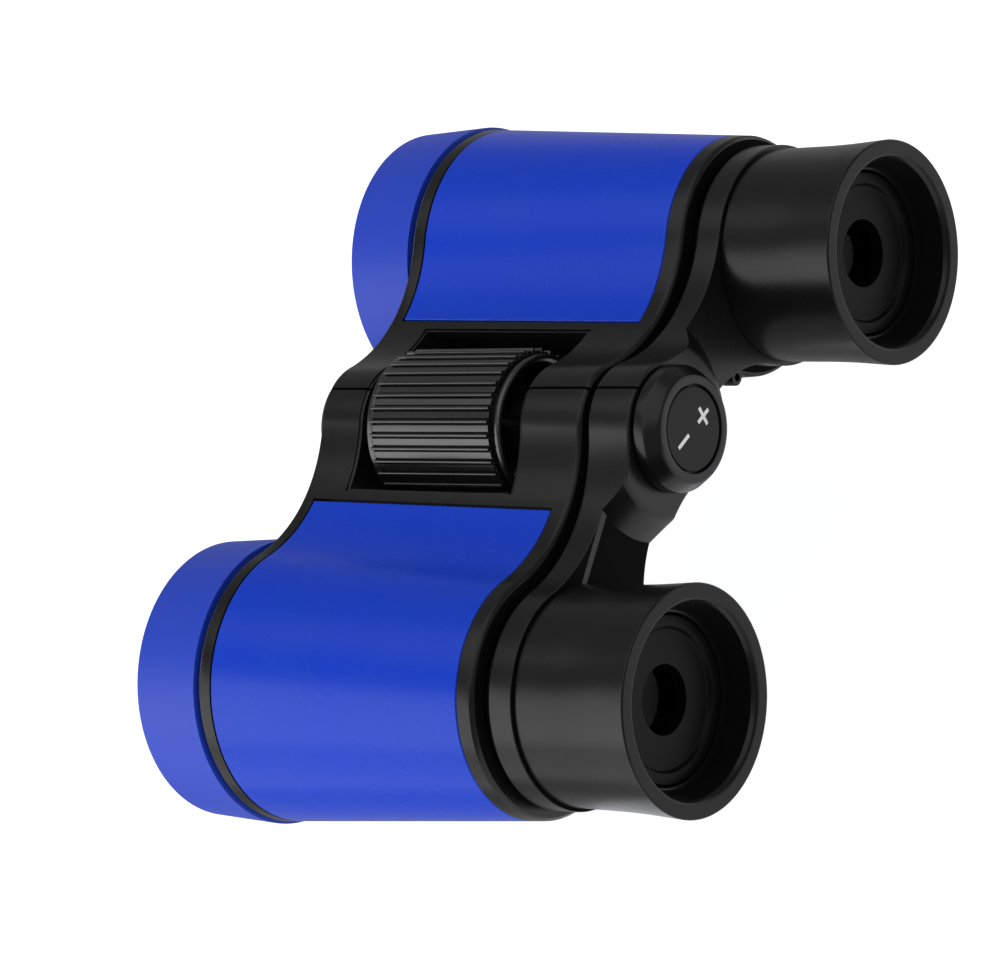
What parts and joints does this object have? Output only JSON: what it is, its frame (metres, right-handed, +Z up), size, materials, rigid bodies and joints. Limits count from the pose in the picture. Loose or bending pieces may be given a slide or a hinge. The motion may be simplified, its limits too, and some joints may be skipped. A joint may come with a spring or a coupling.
{
  "type": "binoculars",
  "caption": "Compact twin-barrel toy binoculars: barrels folding on a centre hinge, ribbed focus wheel in a window, sliding eyepiece bridge with eyecups.",
  "frame": {"origin": "centre of the whole part's box in X and Y, at the height of its lowest point, the undersides of the front rings", "axes": "+X to the user's right across the two barrels, +Y forward along the line of sight, +Z up; the hinge axis is parallel to Y at X 0, 26.9 mm above the origin"},
  "size_m": [0.1046, 0.076, 0.0371],
  "materials": {
    "blue_plastic": "satin moulded blue plastic",
    "black_plastic": "polished moulded black plastic",
    "satin_black_plastic": "satin moulded black plastic",
    "disc_plastic": "dark disc with a white plus and minus",
    "seal_rubber": "matt black rubber",
    "steel": "plated steel",
    "brass": "turned brass",
    "lens_glass": "clear polished lens"
  },
  "bodies": {
    "left_half": {"left_body_shell": "black_plastic", "left_skin_panel": "blue_plastic", "left_front_ring": "blue_plastic", "left_objective_lens": "lens_glass", "left_objective_retainer": "satin_black_plastic", "left_draw_tube_seal": "seal_rubber", "rear_thrust_washer": "steel", "front_thrust_washer": "steel", "hinge_bush": "brass", "hinge_pin": "steel", "hinge_cap": "black_plastic"},
    "right_half": {"right_body_shell": "black_plastic", "right_skin_panel": "blue_plastic", "right_front_ring": "blue_plastic", "right_objective_lens": "lens_glass", "right_objective_retainer": "satin_black_plastic", "right_draw_tube_seal": "seal_rubber"},
    "focus_wheel": {"focus_wheel": "black_plastic"},
    "left_eyepiece": {"left_eyepiece_arm": "black_plastic", "left_eyecup": "satin_black_plastic", "left_ocular_retainer": "satin_black_plastic", "left_ocular_lens": "lens_glass", "focus_spindle": "brass", "hub_screw": "steel", "hub_washer": "steel", "hub_cap": "black_plastic", "cap_disc": "disc_plastic"},
    "right_eyepiece": {"right_eyepiece_arm": "black_plastic", "right_eyecup": "satin_black_plastic", "right_ocular_retainer": "satin_black_plastic", "right_ocular_lens": "lens_glass"}
  },
  "joints": [
    {"name": "barrel_hinge", "type": "hinge", "parent": "left_half", "child": "right_half", "pos_m": [0, -0.038, 0.0269], "axis": [0, 1, 0], "range_deg": [0, 44]},
    {"name": "focus_wheel_turn", "type": "hinge", "parent": "left_half", "child": "focus_wheel", "pos_m": [0, -0.038, 0.0269], "axis": [0, 1, 0], "range_deg": [0, 540]},
    {"name": "focus_slide", "type": "slide", "parent": "left_half", "child": "left_eyepiece", "axis": [0, -1, 0], "range_m": [0, 0.0081]},
    {"name": "bridge_hinge", "type": "hinge", "parent": "left_eyepiece", "child": "right_eyepiece", "pos_m": [0, -0.038, 0.0269], "axis": [0, 1, 0], "range_deg": [0, 44]}
  ],
  "couplings": [
    {"joint": "focus_wheel_turn", "follows": "focus_slide", "rad_per_m": 1163.5},
    {"joint": "bridge_hinge", "follows": "barrel_hinge", "ratio": 1}
  ]
}
